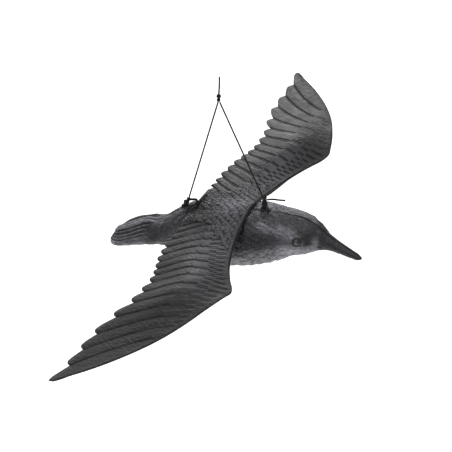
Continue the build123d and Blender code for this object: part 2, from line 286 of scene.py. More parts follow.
# ---------------------------------------------------------------- cords
STRANDS, ROPE_SIDES = 3, 15
CORD_TWIST = 4.2            # a strand's full turn, along the cord
ROPE_STEP, KNOT_STEP = 0.00045, 0.0003      # between a cord's rings, in metres


def route_line(route):
    """The smooth line, in metres, of a NURBS curve controlled by a route's points, in millimetres."""
    data = bpy.data.curves.new("route", "CURVE")
    data.dimensions = "3D"
    spline = data.splines.new("NURBS")
    spline.points.add(len(route) - 1)
    for point, place in zip(spline.points, route):
        point.co = (place[0] * MM, place[1] * MM, place[2] * MM, 1.0)
    spline.order_u = 3
    spline.use_endpoint_u = True
    spline.resolution_u = 12
    curve = bpy.data.objects.new("route", data)
    bpy.context.scene.collection.objects.link(curve)
    mesh = bpy.data.meshes.new_from_object(curve)
    line = np.array([v.co for v in mesh.vertices], float)
    bpy.data.objects.remove(curve)
    bpy.data.meshes.remove(mesh)
    bpy.data.curves.remove(data)
    return line


def resample(line, spacing):
    """Points evenly spaced along a line of points."""
    runs = np.linalg.norm(np.diff(line, axis=0), axis=1)
    along = np.concatenate([[0.0], np.cumsum(runs)])
    count = max(3, int(round(along[-1] / spacing)) + 1)
    at = np.linspace(0.0, along[-1], count)
    return np.stack([np.interp(at, along, line[:, k]) for k in range(3)], -1), at


def cord_run(name, route, body, nodes=(), diameter=CORD_DIAMETER, spacing=ROPE_STEP):
    """A twisted cord along a route, riding on a body, and the line that it follows, in metres.

    It is one closed tube whose section is a rope of three lobes, turning on its way.
    """
    points, along = resample(route_line(route), spacing)
    ahead = np.gradient(points, axis=0)
    ahead /= np.linalg.norm(ahead, axis=1)[:, None]
    across = np.cross(ahead[0], (0.31, 0.86, 0.4))
    across /= np.linalg.norm(across)
    angles = np.arange(ROPE_SIDES) * 2.0 * np.pi / ROPE_SIDES
    radius = diameter * MM / 2.0
    rings = []
    for place, forward, travelled in zip(points, ahead, along):
        across = across - forward * (across @ forward)
        across /= np.linalg.norm(across)
        side = np.cross(forward, across)
        turn = 2.0 * np.pi * travelled / (CORD_TWIST * MM)
        lobes = np.abs(np.cos(STRANDS / 2.0 * (angles - turn)))
        reach = radius * (0.94 + 0.16 * lobes ** 0.8)
        ring = np.cos(angles)[:, None] * across + np.sin(angles)[:, None] * side
        rings.append(place + reach[:, None] * ring)
    faces = []
    for ring in range(len(rings) - 1):
        here, there = ring * ROPE_SIDES, (ring + 1) * ROPE_SIDES
        for k in range(ROPE_SIDES):
            after = (k + 1) % ROPE_SIDES
            faces.append((here + k, here + after, there + after, there + k))
    faces.append(tuple(reversed(range(ROPE_SIDES))))
    faces.append(tuple((len(rings) - 1) * ROPE_SIDES + k for k in range(ROPE_SIDES)))
    piece = new_piece(name, np.concatenate(rings), faces, black_cord)
    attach(piece, body)
    if nodes:
        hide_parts(*nodes)
    return piece, points


# Knots, in millimetres: the places that the cord's runs start from and lead to.
LOOP_KNOT = Vector((-0.9, 0.0, -21.4))
BRIDLE_KNOT = Vector((-0.9, 0.0, -25.6))
FRONT_KNOT = Vector((48.0, 0.0, -128.4))
REAR_KNOT = Vector((-35.0, 0.0, -153.4))
REAR_BOW_KNOT = Vector((-25.4, 0.0, -155.6))
FRONT_HITCH = Vector((48.4, 0.0, -132.6))
REAR_HITCH = Vector((-37.6, 0.0, -158.0))
# The lugs' slots as x, z, and the x of each turn of cord at the slot and at the knot.
FRONT_LUG, REAR_LUG = (49.0, -139.0), (-39.0, -164.6)
FRONT_TURNS = [(47.6, 47.6), (50.4, 49.4)]
REAR_TURNS = [(-40.2, -36.0), (-37.8, -34.4)]
TIE_HALF_WIDTH = 2.0
SHORT_DIAMETER, BOW_DIAMETER = 1.7, 2.3
# The routes of the cord's runs. Both legs and the loop's two sides are straight in the photo.
HANGING_LOOP = [
    (-1.43, 1.36, -18.9), (-0.83, 1.46, -10.6), (-0.73, 1.36, -2.25), (-0.67, 1.36, -0.75),
    (0.60, -1.36, -0.75), (0.54, -1.36, -2.25), (0.44, -1.26, -10.6), (-0.16, -1.36, -18.9),
]
FRONT_LEG = [(0.26, 0.0, -28.04), (23.6, 0.0, -77.1), (46.97, 0.0, -126.23)]
REAR_LEG = [(-1.60, 0.0, -28.21), (-18.0, 0.0, -89.7), (-34.41, 0.0, -151.18)]
FRONT_TAIL = [(50.1, 0.9, -128.2), (56.0, 3.6, -127.4), (61.5, 5.4, -128.2), (67.5, 7.0, -127.8)]
REAR_BOW = [(-33.6, 0.0, -153.6), (-29.8, 0.3, -152.6), (-25.8, 0.3, -151.2), (-25.0, 0.0, -155.0)]
REAR_TAIL_LEFT = [(-25.0, 1.9, -155.8), (-24.4, 6.5, -156.2), (-24.0, 11.5, -156.0), (-23.0, 17.0, -155.6)]
REAR_TAIL_RIGHT = [
    (-26.4, -1.6, -156.2), (-30.6, -4.4, -157.6), (-32.2, -8.8, -160.0), (-31.4, -12.8, -162.6),
]


def free_cord(name, route, body, node):
    """A taut run of cord that stands for its CAD solid."""
    piece, path = cord_run(name, route, body, [node])


def knot_route(centre, radius, axis, turns, squeeze):
    """The windings of a pulled-tight knot: a coil round an axis, tucked in at both ends."""
    axis = Vector(axis).normalized()
    across = axis.orthogonal().normalized()
    side = axis.cross(across)
    reach = radius - 0.45
    count = int(turns * 8)
    route = []
    for k in range(count + 1):
        share = k / count
        angle = 2.0 * math.pi * turns * share
        bulge = math.sin(math.pi * (0.10 + 0.80 * share)) ** 0.45
        route.append(
            centre
            + (across * math.cos(angle) + side * math.sin(angle)) * reach * bulge
            + axis * (share - 0.5) * 2.0 * reach * squeeze
        )
    return route


def tie_route(turns, slot_z, knot):
    """Turns of cord through a lug's slot and up to the knot, one after the other."""
    route = []
    for foot_x, head_x in turns:
        middle_x, middle_z = (foot_x + head_x) / 2.0, (slot_z + knot.z) / 2.0
        for x, wide, z in (
            (foot_x, -0.6, slot_z - 0.2), (foot_x, 0.6, slot_z - 0.2), (foot_x, 1.0, slot_z + 2.6),
            (middle_x, 0.8, middle_z), (head_x, 0.4, knot.z - 1.2), (head_x, 0.0, knot.z + 0.6),
            (head_x, -0.4, knot.z - 1.2), (middle_x, -0.8, middle_z), (foot_x, -1.0, slot_z + 2.6),
        ):
            route.append(Vector((x, wide * TIE_HALF_WIDTH, z)))
    return route


def make_tie(name, turns, lug, knot, hitch, node):
    """Cord wound through a lug and knotted above it, with a hitch pulled tight below the knot."""
    cord_run(name + "_turns", tie_route(turns, lug[1], knot), "decoy", [node])
    for part, centre, radius, thick in (("_knot", knot, 1.9, 1.0), ("_hitch", hitch, 2.7, 1.2)):
        coil = knot_route(centre, radius, (0.2, 0.15, 1.0), 2.2, 0.8)
        cord_run(name + part, coil, "decoy", diameter=thick * CORD_DIAMETER, spacing=KNOT_STEP)


free_cord("hanging_loop_cord", HANGING_LOOP, "hanger", "hanging_loop")
free_cord("bridle_front_cord", FRONT_LEG, "bridle", "bridle_front_leg")
free_cord("bridle_rear_cord", REAR_LEG, "bridle", "bridle_rear_leg")
for knot_name, knot_centre, knot_radius, knot_axis, knot_turns, knot_body in (
    ("loop_knot", LOOP_KNOT, 2.1, (0.35, 0.2, 1.0), 2.6, "swivel"),
    ("bridle_knot", BRIDLE_KNOT, 1.8, (0.9, 0.3, 0.35), 2.4, "bridle_head"),
    ("rear_bow_knot", REAR_BOW_KNOT, 1.9, (0.2, 0.1, 1.0), 2.5, "decoy"),
):
    windings = knot_route(knot_centre, knot_radius, knot_axis, knot_turns, 0.9)
    cord_run(knot_name + "_cord", windings, knot_body, [knot_name], spacing=KNOT_STEP)
make_tie("front_tie_cord", FRONT_TURNS, FRONT_LUG, FRONT_KNOT, FRONT_HITCH, "front_tie")
make_tie("rear_tie_cord", REAR_TURNS, REAR_LUG, REAR_KNOT, REAR_HITCH, "rear_tie")
cord_run("front_tail_cord", FRONT_TAIL, "decoy", ["front_tie_tail"], SHORT_DIAMETER)
cord_run("rear_bow_cord", REAR_BOW, "decoy", ["rear_tie_bow"], BOW_DIAMETER)
cord_run("rear_tail_left_cord", REAR_TAIL_LEFT, "decoy", ["rear_tail_left"], SHORT_DIAMETER)
cord_run("rear_tail_right_cord", REAR_TAIL_RIGHT, "decoy", ["rear_tail_right"], SHORT_DIAMETER)


# ---------------------------------------------------------------- shared shapes
def curve_at(knots, values, at):
    """A smooth curve through the values at the knots, read at any places between them."""
    knots, values = np.asarray(knots, float), np.asarray(values, float)
    runs = np.diff(knots)
    rates = np.diff(values) / runs
    inner = (rates[:-1] * runs[1:] + rates[1:] * runs[:-1]) / (runs[1:] + runs[:-1])
    tangents = np.concatenate([[rates[0]], inner, [rates[-1]]])
    at = np.clip(at, knots[0], knots[-1])
    k = np.clip(np.searchsorted(knots, at) - 1, 0, len(runs) - 1)
    t = (at - knots[k]) / runs[k]
    return (
        values[k] * (1 + 2 * t) * (1 - t) ** 2 + tangents[k] * runs[k] * t * (1 - t) ** 2
        + values[k + 1] * t * t * (3 - 2 * t) + tangents[k + 1] * runs[k] * t * t * (t - 1)
    )


def near(distance, width):
    """1 at no distance, falling away over the width."""
    return np.exp(-np.abs(distance) / width)


def scales(along, across):
    """Overlapping scales one unit wide, with two rows to each two units of length, tips towards -along.

    Returns how far in front of its own scale's edge each point lies, from 0 at the edge to 1, the place
    across that scale, from -0.5 to 0.5, and how far behind the next edge it lies.
    """
    best = np.full(np.broadcast(along, across).shape, 2.0)
    place = np.zeros_like(best)
    behind = np.full_like(best, 2.0)
    for row in (0, 1):
        side = (across + 0.5 + 0.5 * row) % 1.0 - 0.5
        column = np.floor(across + 0.5 + 0.5 * row) * 2.0 + row
        shift = 0.42 * np.sin(column * 12.9898 + 4.1) + 0.30 * np.sin(column * 5.31)
        edge = 1.05 * np.abs(2.0 * side) ** 2.3 + shift
        ahead = (along - row - edge) / 2.0
        ahead = ahead - np.floor(ahead)
        behind = np.minimum(behind, 1.0 - ahead)
        nearer = ahead < best
        best = np.where(nearer, ahead, best)
        place = np.where(nearer, side, place)
    return best, place, behind


# ---------------------------------------------------------------- wing plate
# Outlines and heights in millimetres, typed from rounded readings of the photo.
LEADING_EDGE = [
    (35.0, 0.0), (36.5, 30.0), (41.0, 56.0), (49.5, 83.0), (58.5, 101.5), (66.0, 114.0), (68.6, 121.5),
    (66.6, 133.0), (57.0, 162.0), (42.5, 193.0), (20.0, 226.5), (-5.0, 255.0), (-20.0, 269.3), (-29.0, 277.8),
]
FEATHER_TIPS = [
    (-35.0, HALF_SPAN), (-32.0, 248.5), (-32.0, 224.5), (-31.0, 201.0), (-25.5, 175.0), (-19.0, 152.5),
    (-17.0, 135.5), (-16.5, 120.5), (-18.5, 109.0), (-21.5, 99.0), (-25.0, 88.0), (-27.0, 76.5),
    (-29.0, 64.5), (-29.0, 51.0), (-29.0, 39.5), (-28.5, 29.0),
]
FEATHER_NOTCH = (5.3, 6.2)
REAR_EDGE_X = -29.5
PLATE_REF_X = -28.0
PLATE_ACROSS = np.array([
    (0.0, -158.5, 0.287, 2.5, 0.0), (10.0, -158.7, 0.266, 2.7, 0.2), (20.0, -158.9, 0.235, 3.6, 0.4),
    (31.0, -159.0, 0.205, 4.6, 0.7), (42.0, -159.4, 0.175, 5.0, 1.2), (54.0, -159.8, 0.155, 4.2, 1.9),
    (70.0, -160.0, 0.140, 2.8, 3.3), (90.0, -159.6, 0.127, 2.5, 5.3), (108.0, -159.4, 0.130, 2.5, 6.6),
    (122.0, -159.6, 0.155, 2.5, 7.0), (137.0, -160.2, 0.198, 2.5, 6.2), (155.0, -160.8, 0.222, 2.5, 3.8),
    (178.0, -161.4, 0.225, 2.5, 1.2), (205.0, -161.6, 0.217, 2.5, 0.1), (230.0, -161.0, 0.212, 2.5, 0.0),
    (255.0, -160.0, 0.208, 2.5, 0.0), (285.0, -158.0, 0.200, 2.5, 0.0),
])
# How fast each flight feather's outer edge runs inwards as it goes forward, by the y of its notch.
FEATHER_SWEEP = [
    (35.0, 0.72), (58.0, 0.70), (82.0, 0.66), (106.0, 0.58), (120.0, 0.50), (146.0, 0.46), (160.0, 0.46),
    (182.0, 0.59), (206.0, 0.79), (230.0, 0.97), (252.0, 1.13), (280.0, 1.30),
]
# The rear edges of the three rows of coverts, as y, x. Each row ends where it meets the leading edge.
COVERT_ROWS = [
    [(0.0, -4.0), (30.0, 0.0), (37.0, 3.0), (60.0, 8.0), (71.0, 10.0), (80.0, 14.0), (91.0, 16.0),
     (102.0, 19.0), (120.0, 21.0), (140.0, 21.5), (160.0, 22.5), (180.0, 25.0), (200.0, 27.0),
     (212.0, 29.0), (280.0, 40.0)],
    [(0.0, 8.0), (30.0, 12.0), (50.0, 16.0), (62.0, 18.0), (70.0, 22.0), (76.0, 25.0), (85.0, 28.0),
     (92.0, 32.0), (103.0, 36.0), (120.0, 37.0), (141.0, 37.5), (160.0, 40.0), (175.0, 40.5),
     (195.0, 42.0), (280.0, 60.0)],
    [(0.0, 20.0), (30.0, 22.0), (50.0, 26.0), (69.0, 29.0), (85.0, 36.0), (100.0, 42.0), (115.0, 47.0),
     (130.0, 48.0), (150.0, 49.0), (165.0, 50.0), (180.0, 53.0), (280.0, 80.0)],
]
# For the flight feathers and each row of coverts: shift along y, rise across a feather, step at the edge.
ROW_JOG = (0.0, 2.2, -1.6, 1.2)
ROW_RISE = (0.50, 0.55, 0.50, 0.42)
ROW_STEP = (0.0, 0.30, 0.30, 0.28)
FEATHER_LEAN = 1.0 / math.sqrt(1.0 + 0.6 ** 2)      # of a y distance, the share that is square to a feather
# How far the bare strip reaches back from the front edge, by y.
BARE_STRIP = [(0.0, 2.0), (30.0, 4.0), (100.0, 7.0), (121.0, 5.0), (140.0, 5.0), (200.0, 3.5), (280.0, 2.0)]
TOP_ROWS, UNDER_ROWS, COLUMNS = 150, 40, 440
TIP_FROM, TIP_LEAN = 269.0, 0.57      # where a wing tip starts to round off, and how far it leans back
HAND_FROM = 130.0           # where the outer part of a wing, past the wrist, becomes its own mesh
WING_END_GAP = 0.5          # a wing's last column, inside the tip
PLATE_SUNK = 0.9            # the plate's face without relief, under the CAD's
STUB_Y = 30.0               # the dark mark on the front rim, taken as a short stub
# The front rim from the top down: forward, then height over the upper face, or None and height over its foot.
RIM_PROFILE = [
    (-0.35, -0.95), (-0.05, -1.3), (0.0, -1.9), (0.0, None, 0.5), (-0.35, None, 0.15), (-0.9, None, 0.0),
    (-1.6, None, 0.0), (-2.05, None, 0.3),
]


def front_edge(y):
    """x of the leading edge, with the last bit cut off straight to the tip."""
    edge_x, edge_y = zip(*LEADING_EDGE)
    smooth = curve_at(edge_y, edge_x, y)
    end_x, end_y = LEADING_EDGE[-1]
    tip_x, tip_y = FEATHER_TIPS[0]
    beyond = np.clip((y - end_y) / (tip_y - end_y), 0.0, 1.0)
    return np.where(y > end_y, end_x + (tip_x - end_x) * beyond, smooth)


def rear_outline():
    """The serrated rear edge as a line of y, x points: each lobe gently convex inside, rounded outside."""
    line = [(0.0, REAR_EDGE_X)]
    for x, y in reversed(FEATHER_TIPS):
        before_y, before_x = line[-1]
        for share in np.linspace(0.0, 1.0, 13)[1:]:
            back = 1.0 - share
            line.append((before_y + (y - before_y) * share, x + (before_x - x) * back ** 1.4))
        if y < HALF_SPAN:
            for share in np.linspace(0.0, 1.0, 9)[1:]:
                rise = 0.45 * share ** 2 + 0.55 * (1.0 - math.sqrt(max(0.0, 1.0 - share ** 2)))
                line.append((y + FEATHER_NOTCH[1] * share, x + FEATHER_NOTCH[0] * rise))
    return np.array(line)


def plate_height(x, y):
    """Height of the plate's upper face, without its relief."""
    height, slope, arch = (curve_at(PLATE_ACROSS[:, 0], PLATE_ACROSS[:, k], y) for k in (1, 2, 4))
    rear = table_at(sorted((tip_y, tip_x) for tip_x, tip_y in FEATHER_TIPS + [(REAR_EDGE_X, 0.0)]), y)
    share = np.clip((x - rear) / np.maximum(front_edge(y) - rear, 1.0), 0.0, 1.0)
    return height + slope * (x - PLATE_REF_X) + arch * np.sin(np.pi * share) ** 2


def feather_edges(x, jog=0.0):
    """y of each flight feather's outer edge at x, outermost first, with the tip and the root at the ends."""
    edges = [np.full_like(x, 330.0) - 1.6 * (x + 35.0)]
    for tip_x, tip_y in FEATHER_TIPS[1:]:
        notch_x, notch_y = tip_x + FEATHER_NOTCH[0], tip_y + FEATHER_NOTCH[1]
        forward = x - notch_x
        inwards = table_at(FEATHER_SWEEP, notch_y) * forward * (1.12 - 0.24 * forward / 45.0)
        edges.append(notch_y + jog - inwards)
    for _ in range(6):
        edges.append(edges[-1] - 9.0)
    return edges


def across_feathers(x, y, jog=0.0, split=1):
    """Which feather a point is on, how far across it, and its distances from the two edges."""
    edges = feather_edges(x, jog)
    if split == 2:
        edges = [e for a, b in zip(edges, edges[1:]) for e in (a, 0.5 * (a + b))] + [edges[-1]]
    stack = np.stack(edges)
    index = np.clip((stack > y).sum(0) - 1, 0, len(edges) - 2)
    outer = np.take_along_axis(stack, index[None], 0)[0]
    inner = np.take_along_axis(stack, index[None] + 1, 0)[0]
    width = np.maximum(outer - inner, 0.5)
    return index, (outer - y) / width, outer - y, y - inner, width


def plate_relief(x, y):
    """Relief of the feathered face: height in millimetres, groove as painted shade, ridge as painted
    highlight, and the barbs' running number.

    The flight feathers come first, and each row of coverts lies over what is behind its edge.
    """
    points = np.stack([x, y], -1)
    rows = [curve_at(*zip(*row), y) for row in COVERT_ROWS] + [front_edge(y)]
    for number in range(4):
        jog, split = ROW_JOG[number], 1 if number < 2 else 2
        index, share, from_outer, from_inner, width = across_feathers(x, y, jog, split)
        outer_gap, inner_gap = from_outer * FEATHER_LEAN, from_inner * FEATHER_LEAN
        calm = 1.0 - 0.55 * step(112.0, 140.0, y) if number else 1.0
        size = ROW_RISE[number] * np.clip(width / 9.0, 0.45, 1.0) * calm
        quill = (share - 0.42) * width * FEATHER_LEAN
        local = size * (1.0 - share) ** 0.9 * step(-0.1, 0.75, outer_gap)
        local = local + 0.22 * size * np.sin(np.pi * np.clip(share, 0.0, 1.0))
        local = local + 0.22 * near(quill, 0.42) * (1.0 if number < 2 else 0.5)
        # Painted shade at the foot of each feather's edge, a painted highlight along the edge itself.
        dark = np.maximum(near(np.maximum(inner_gap - 1.1, 0.0), 0.55), 0.75 * spot((outer_gap, 1.15, 0.5)))
        dark = dark * calm
        bright = spot((outer_gap, 0.1, 0.42)) * calm
        if not number:
            hand = step(95.0, 150.0, y)
            height = local * (0.8 - 0.45 * hand)
            groove = dark
            ridge = bright * (1.0 - 0.35 * hand)
            barb = (x + 0.55 * y - 1.1 * np.abs(quill) + 7.0 * index) / 1.3
            continue
        row, ahead = rows[number - 1], rows[number]
        _, row_share, _, _, row_width = across_feathers(row, y, jog, split)
        scallop = 0.22 * row_width * np.abs(2.0 * row_share - 0.9) ** 2.2
        start = row + np.minimum(scallop, 4.0) - 1.0 + 0.7 * noise(points, 17.0, number)
        distance = x - start
        inside = x >= start
        left = 1.0 - np.clip(distance / np.maximum(ahead - start, 4.0), 0.0, 1.0)
        local = local + ROW_STEP[number] * calm * left ** 0.8
        # A painted highlight along each covert row's edge, painted shade on the feathers just behind it.
        bright = np.maximum(bright, 0.30 * calm * near(np.maximum(distance - 0.3, 0.0), 0.5))
        shade = 0.45 * calm * near(np.maximum(-distance - 0.4, 0.0), 0.5)
        shade = shade * (0.25 + 0.75 * np.clip(1.0 - 1.6 * share, 0.0, 1.0))
        height = np.where(inside, blended(height, local, step(-0.1, 0.7, distance)), height)
        groove = np.where(inside, dark, np.maximum(groove, shade))
        ridge = np.where(inside, bright, ridge)
        barb = np.where(inside, (x - 0.9 * np.abs(quill) + 7.0 * index) / 1.25, barb)
    return height, groove, ridge, barb


def shoulder_relief(x, y):
    """Relief of the small scale feathers over the back between the wings, with painted shade under each
    scale's edge and a painted highlight along it.
    """
    pitch, width = 4.8, 7.6
    wave = noise(np.stack([x, y], -1), 24.0, 3)
    front, place, behind = scales((x + 0.9 * wave) / pitch, y / width)
    lift = 1.35 * (1.0 - front) * step(0.0, 0.10, front)
    crown = 0.45 * np.cos(np.pi * place)
    quill = 0.14 * near(place * width, 0.4)
    # Painted shade under the next scale's edge, a painted highlight along this one's.
    groove = near(np.maximum(behind * 2.0 * pitch - 0.5, 0.0), 0.6)
    ridge = 1.3 * near((front - 0.08) * 2.0 * pitch, 0.9)
    barb = (x - 1.0 * np.abs(place * width)) / 1.2
    return lift + crown + quill, groove, ridge, barb


def plate_face(x, y):
    """Relief of the whole plate: scales at the middle, feathers on the wings, smooth along the front, with
    painted light and shade.
    """
    points = np.stack([x, y], -1)
    feathers, small = plate_relief(x, y), shoulder_relief(x, y)
    seam = 29.0 + 0.95 * np.clip(x - 1.0, 0.0, 34.0) + 3.0 * noise(points, 9.0, 14)
    wing = step(-1.5, 1.5, y - seam)
    height, groove, ridge = [s + (f - s) * wing for f, s in zip(feathers[:3], small[:3])]
    barb = np.where(wing > 0.5, feathers[3], small[3])
    edge_y = np.linspace(0.0, HALF_SPAN, 561)
    slope = np.gradient(front_edge(edge_y), edge_y[1] - edge_y[0])
    inset = (front_edge(y) - x) / np.sqrt(1.0 + np.interp(y, edge_y, slope) ** 2)
    bare = 1.0 - step(-2.5, 2.0, inset - table_at(BARE_STRIP, y))
    mottle = 0.16 * noise(points, 5.0, 5) + 0.10 * noise(points, 2.6, 6)
    height = blended(height, 0.45 + mottle, bare)
    groove = blended(groove, 0.12 + 0.5 * step(0.0, 0.9, mottle * 4.0), bare)
    # Painted shade along the front edge of the inner wing, where the rim stands over the back.
    root_line = near(np.maximum(inset - 1.3, 0.0), 0.7) * (1.0 - step(70.0, 112.0, y))
    groove = np.maximum(groove, 0.95 * root_line)
    # Painted highlights in short ticks along the front edge of the outer wing.
    ticks = step(0.1, 0.9, np.sin(2.0 * np.pi * y / 1.9)) * step(122.0, 140.0, y) * step(0.4, 1.2, inset)
    ridge = ridge * (1.0 - bare) + 0.55 * ticks * near(np.maximum(inset - 2.6, 0.0), 0.8)
    # Random breaks in the painted highlights.
    highlight_breakup = np.clip(0.7 + 0.55 * noise(points, 38.0, 8) + 0.35 * noise(points, 9.0, 9), 0.0, 1.3)
    height = height + 0.10 * noise(points, 7.0, 10) + 0.05 * noise(points, 3.1, 11)
    # Painted light and shade: painted highlights over the middle of the back and the shoulders, painted shade
    # behind and over the outer wings.
    middle = spot((y, -6.0, 24.0), (x, 12.0, 20.0))
    shoulder = spot((y, 66.0, 42.0), (x, 28.0, 15.0))
    hind = spot((x, -18.0, 14.0), (y, 0.0, 34.0))
    tone = 0.42 * middle + 0.20 * shoulder - 0.9 * hind - 0.45 * step(110.0, 200.0, y)
    return height, groove, ridge * highlight_breakup, barb, tone


def wing_edges(y):
    """x of the rear and the front edge, rounded off together at the tip."""
    outline = rear_outline()
    rear = np.interp(y, outline[:, 0], outline[:, 1])
    start_rear = np.interp(TIP_FROM, outline[:, 0], outline[:, 1])
    start_front = float(front_edge(np.array(TIP_FROM)))
    tip = np.clip((y - TIP_FROM) / (HALF_SPAN - TIP_FROM), 0.0, 1.0)
    middle = (start_rear + start_front) / 2.0 - TIP_LEAN * (y - TIP_FROM)
    half = (start_front - start_rear) / 2.0 * np.sqrt(1.0 - tip ** 2) * (1.0 - 0.22 * tip)
    return np.where(tip > 0.0, middle - half, rear), np.where(tip > 0.0, middle + half, front_edge(y))


def upper_face(y, rear, front, chord, small):
    """The feathered upper face, as points and painted layers."""
    x = rear + (chord - 0.9 * small) * np.linspace(0.0, 1.0, TOP_ROWS)
    y = np.repeat(y, TOP_ROWS, 1)
    height, groove, ridge, barb, tone = plate_face(x, y)
    rear_fade = 0.25 + 0.75 * step(0.0, 1.2, x - rear)
    front_fade = 0.4 + 0.6 * step(0.0, 2.5, front - x)
    z = plate_height(x, y) - PLATE_SUNK + rear_fade * height * front_fade * small
    z = z - 0.5 * (1.0 - step(0.0, 5.0, x - rear))
    return np.stack([x, y, z], -1), np.stack([groove, ridge, barb, tone], -1)


def front_rim(y, front, small):
    """The rounded front rim, with the stub on it, as points and painted layers, with painted shade on its
    front face.
    """
    top = plate_height(front, y)
    foot = top - np.interp(y, PLATE_ACROSS[:, 0], PLATE_ACROSS[:, 3]) * small
    stub = spot((y, STUB_Y, 1.7))
    points = []
    for forward, *height in RIM_PROFILE:
        x = front + forward * small + (1.4 * stub if forward > -0.5 else 0.0)
        z = top + height[0] * small if len(height) == 1 else foot + height[1] * small - 1.2 * stub
        points.append(np.stack([x, y, z], -1))
    layers = np.zeros((len(y), len(points), 4))
    # Painted shade on the rim's front face and under it.
    layers[:, 2:, 0] = 0.85
    return np.concatenate(points, 1), layers


def under_face(y, rear, chord, small):
    """The underside, with the same feathers in low relief, as points and painted layers."""
    x = rear + (chord - 2.2 * small) * np.linspace(1.0, 0.0, UNDER_ROWS)
    y = np.repeat(y, UNDER_ROWS, 1)
    _, groove, _, barb, tone = plate_face(x, y)
    thickness = (0.55 + 1.35 * step(0.0, 9.0, x - rear)) * small
    z = plate_height(x, y) - PLATE_SUNK - 0.5 * (1.0 - step(0.0, 5.0, x - rear))
    z = z - thickness + 0.35 * groove * small
    # The underside takes the grooves' painted shade and only the shade part of the tone's painted light and
    # shade.
    layers = np.stack([0.8 * groove, np.zeros_like(groove), barb, np.minimum(tone, 0.0)], -1)
    return np.stack([x, y, z], -1), layers


def make_wing(name, side, nodes, body, from_y, to_y):
    """A stretch of one half of the wing plate. The outer one rides on its wing's body, the inner one is left
    unattached.
    """
    y = np.linspace(from_y, to_y, COLUMNS)[:, None]
    rear, front = wing_edges(y)
    chord = np.maximum(front - rear, 0.6)
    small = np.clip(chord / 5.0, 0.45, 1.0)
    sheets = [
        upper_face(y, rear, front, chord, small),
        front_rim(y, front, small),
        under_face(y, rear, chord, small),
    ]
    points, layers = (np.concatenate(parts, 1) for parts in zip(*sheets))
    points[..., 1] *= side
    count = points.shape[1]
    here = np.arange(COLUMNS - 1)[:, None] * count + np.arange(count)[None, :]
    after = np.arange(COLUMNS - 1)[:, None] * count + (np.arange(count)[None, :] + 1) % count
    turn = 1 if side > 0 else -1
    faces = np.stack([here, after, after + count, here + count], -1).reshape(-1, 4)[:, ::turn].tolist()
    if from_y:
        faces.append((np.arange(count) + (COLUMNS - 1) * count)[::turn].tolist())
    piece = new_piece(name, points.reshape(-1, 3) * MM, faces, wing_material)
    paint(piece, layers)
    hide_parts(*nodes)
    if from_y:
        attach(piece, body)
    else:
        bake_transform(piece)


for side_name, side in (("left", 1.0), ("right", -1.0)):
    wing = side_name + "_wing"
    saddle = ["wing_saddle"] if side > 0.0 else []
    inner_nodes = [wing, side_name + "_flex_strip"] + saddle
    make_wing(f"wing_{side_name}_inner", side, inner_nodes, wing, 0.0, HAND_FROM)
    make_wing(f"wing_{side_name}_outer", side, [wing], wing, HAND_FROM, HALF_SPAN - WING_END_GAP)


# ---------------------------------------------------------------- body shells
# x, height of the ridge, half width, half height. The back by the rear tie and the beak were reshaped after
# the photo and differ from the CAD's sections there.
BODY_SECTIONS = np.array([
    (-127.0, -222.5, 29.0, 4.8), (-105.0, -210.5, 27.5, 6.8), (-85.0, -199.3, 24.0, 10.0),
    (-66.0, -188.5, 20.0, 13.5), (-50.0, -173.8, 20.0, 20.7), (-35.0, -161.8, 24.5, 27.9),
    (-15.0, -158.6, 30.0, 29.0), (5.0, -152.6, 32.5, 32.0), (28.0, -145.8, 32.0, 31.8),
    (50.0, -141.2, 29.5, 30.0), (70.0, -138.0, 26.0, 26.0), (84.0, -136.4, 23.0, 22.0),
    (96.0, -137.6, 20.0, 18.8), (106.0, -142.4, 14.5, 13.7), (117.0, -149.2, 8.6, 8.8),
    (130.0, -155.6, 6.0, 6.0), (142.0, -160.4, 4.4, 4.6), (149.0, -163.2, 3.2, 3.4),
    (152.5, -165.4, 1.3, 1.6),
])
TAIL_END_CENTRE, TAIL_END_LENGTH, TAIL_END_HALF_WIDTH = -103.0, 21.0, 27.0
TAIL_EDGES = [0.17, 0.40, 0.62, 0.82, 1.03]     # of the tail feathers, as shares of its half width
EYE_PLACE, EYE_RADIUS = (91.5, 18.5, -152.3), 4.2
BODY_COLUMNS, BODY_ROWS, TAIL_COLUMNS = 480, 136, 40
BODY_FROM, TAIL_COLUMNS_TO, BODY_TO = -123.9, -112.0, 152.4
# The length of a scale feather, by x: long on the tail's base, small on the head.
SCALE_LENGTH = [
    (-130.0, 10.0), (-90.0, 9.0), (-60.0, 7.5), (-30.0, 6.0), (30.0, 5.5), (60.0, 4.4), (90.0, 3.2),
    (160.0, 3.0),
]
SCALE_AMOUNT = [
    (-125.0, 0.0), (-100.0, 0.5), (-60.0, 0.8), (-20.0, 1.0), (60.0, 0.9), (80.0, 0.5), (100.0, 0.35),
    (108.0, 0.2), (112.0, 0.0),
]
SCALES_ROUND_HALF = 15


